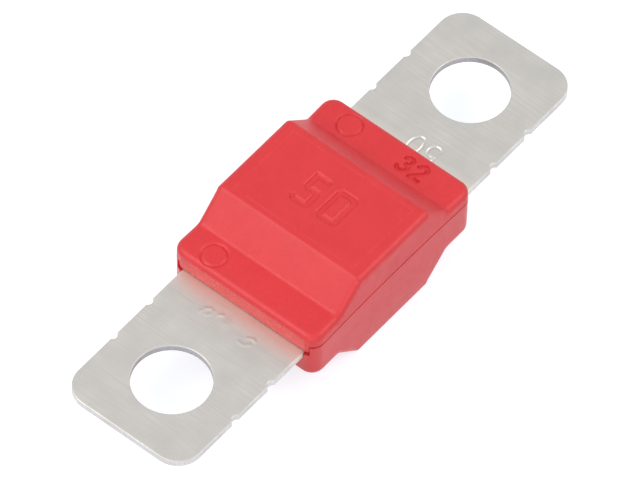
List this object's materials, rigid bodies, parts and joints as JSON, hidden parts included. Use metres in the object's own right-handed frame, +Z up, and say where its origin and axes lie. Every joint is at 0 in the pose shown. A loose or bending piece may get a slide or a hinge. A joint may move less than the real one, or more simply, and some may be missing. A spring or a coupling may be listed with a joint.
{
  "type": "midi fuse",
  "caption": "Bolt-in strip fuse: a stepped plastic body in two moulded covers, with a flat metal blade and stud hole at each end.",
  "frame": {"origin": "middle of the fuse, halfway between the two stud holes, on the mid-plane of the metal strip", "axes": "+X along the strip from one stud hole to the other, +Y across the strip, +Z up through the upper cover"},
  "size_m": [0.04, 0.012, 0.0078],
  "materials": {
    "cover_plastic": "satin",
    "plated_strip": "satin",
    "tin": "matte"
  },
  "bodies": {
    "root": {"upper_cover": "cover_plastic", "lower_cover": "cover_plastic", "fuse_element": "plated_strip", "tin_pill": "tin"}
  },
  "joints": []
}
